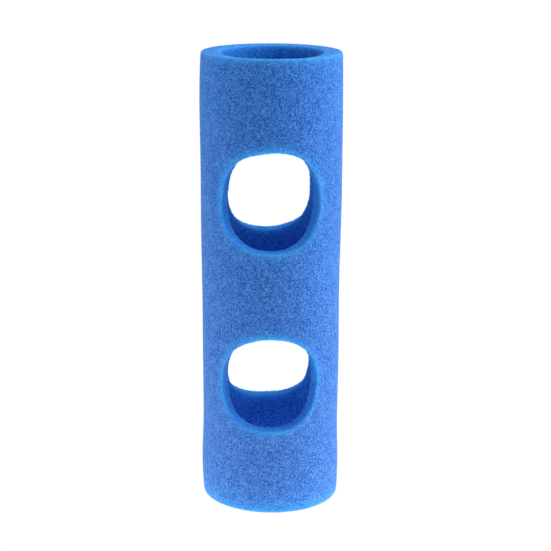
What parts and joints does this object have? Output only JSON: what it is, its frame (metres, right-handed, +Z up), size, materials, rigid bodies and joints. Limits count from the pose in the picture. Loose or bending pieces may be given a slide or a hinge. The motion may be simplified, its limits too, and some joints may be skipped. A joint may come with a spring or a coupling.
{
  "type": "sponge filter sleeve",
  "caption": "Soft open-cell foam tube with a straight bore and cross holes through both walls, slipped over a strainer tube to filter water.",
  "frame": {"origin": "centre of the sleeve's lower end, on the surface it stands on", "axes": "+Z up along the bore's axis, towards the end farther from its cross hole; Y along the cross holes; X across them"},
  "size_m": [0.044, 0.044, 0.1425],
  "materials": {
    "foam": "matt blue open-cell foam, grainy, with softened cut edges"
  },
  "bodies": {
    "root": {"foam_sleeve": "foam"}
  },
  "joints": []
}
